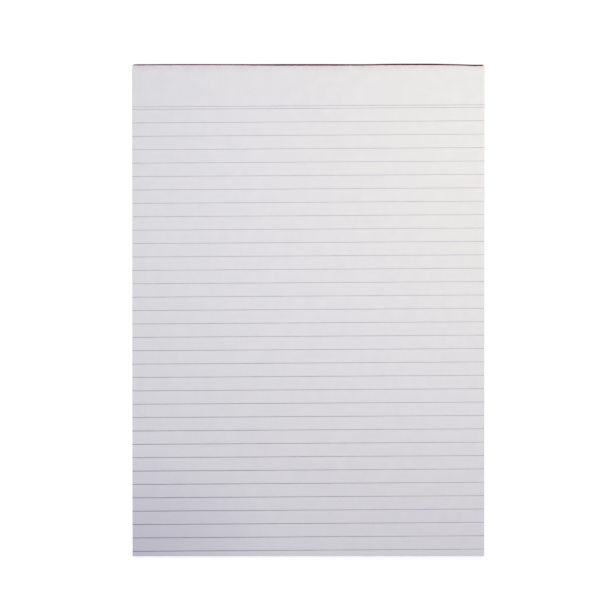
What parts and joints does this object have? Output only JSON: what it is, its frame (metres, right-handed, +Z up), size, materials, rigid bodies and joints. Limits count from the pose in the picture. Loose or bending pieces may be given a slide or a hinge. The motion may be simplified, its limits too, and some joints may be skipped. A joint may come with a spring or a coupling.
{
  "type": "legal pad",
  "caption": "Ruled legal pad: off-white writing leaves with grey-blue feint lines, glued along the head edge with dark red gum on a grey backing board.",
  "frame": {"origin": "middle of the pad's underside", "axes": "+X across the sheet to the right, +Y along the sheet to the glued head, +Z up, out of the front leaf"},
  "size_m": [0.21, 0.2938, 0.0056],
  "materials": {
    "paper": "matt, uncoated, off-white",
    "ink": "matt printed ink, grey-blue",
    "board": "matt, recycled grey, flecked",
    "gum": "dried padding gum, dark maroon, satin"
  },
  "bodies": {
    "root": {"leaves": "paper", "ruling": "ink", "backing_board": "board", "binding_gum": "gum"}
  },
  "joints": []
}
